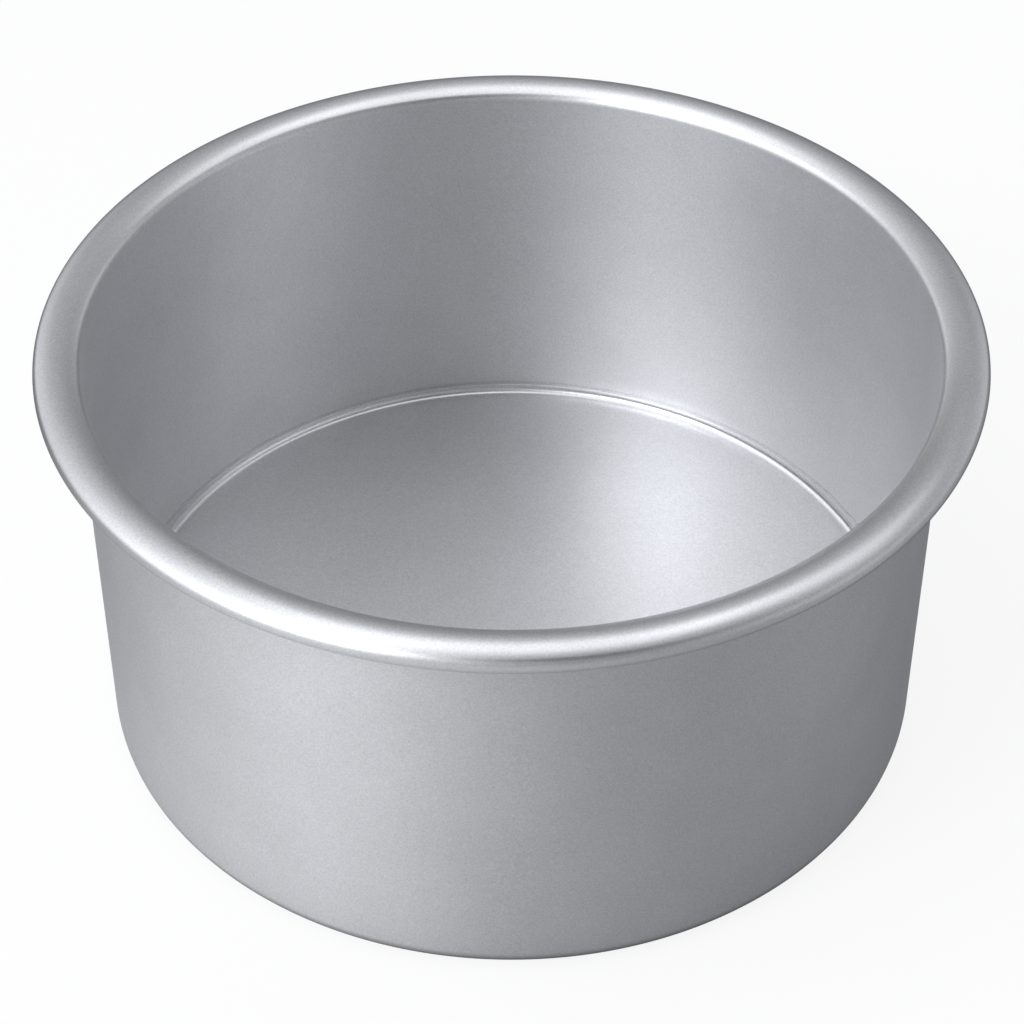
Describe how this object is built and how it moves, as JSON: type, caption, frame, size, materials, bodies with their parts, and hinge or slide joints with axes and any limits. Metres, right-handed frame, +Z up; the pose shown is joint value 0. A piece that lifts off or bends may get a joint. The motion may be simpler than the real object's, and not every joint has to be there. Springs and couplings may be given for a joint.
{
  "type": "round cake tin",
  "caption": "Deep round cake tin of satin anodised aluminium, with a rolled oval rim, a rolled foot and a loose base that lifts out.",
  "frame": {"origin": "centre of the tin's axis, on the surface that the tin stands on", "axes": "+Z up along the tin's axis of symmetry; X and Y are alike, because the tin is round"},
  "size_m": [0.1688, 0.1688, 0.0832],
  "materials": {
    "satin_aluminium_body": "satin",
    "satin_aluminium_base": "satin"
  },
  "bodies": {
    "tin": {"tin_body": "satin_aluminium_body"},
    "base": {"loose_base": "satin_aluminium_base"}
  },
  "joints": [
    {"name": "base_lift", "type": "slide", "parent": "tin", "child": "base", "axis": [0, 0, 1], "range_m": [0, 0.085]}
  ]
}
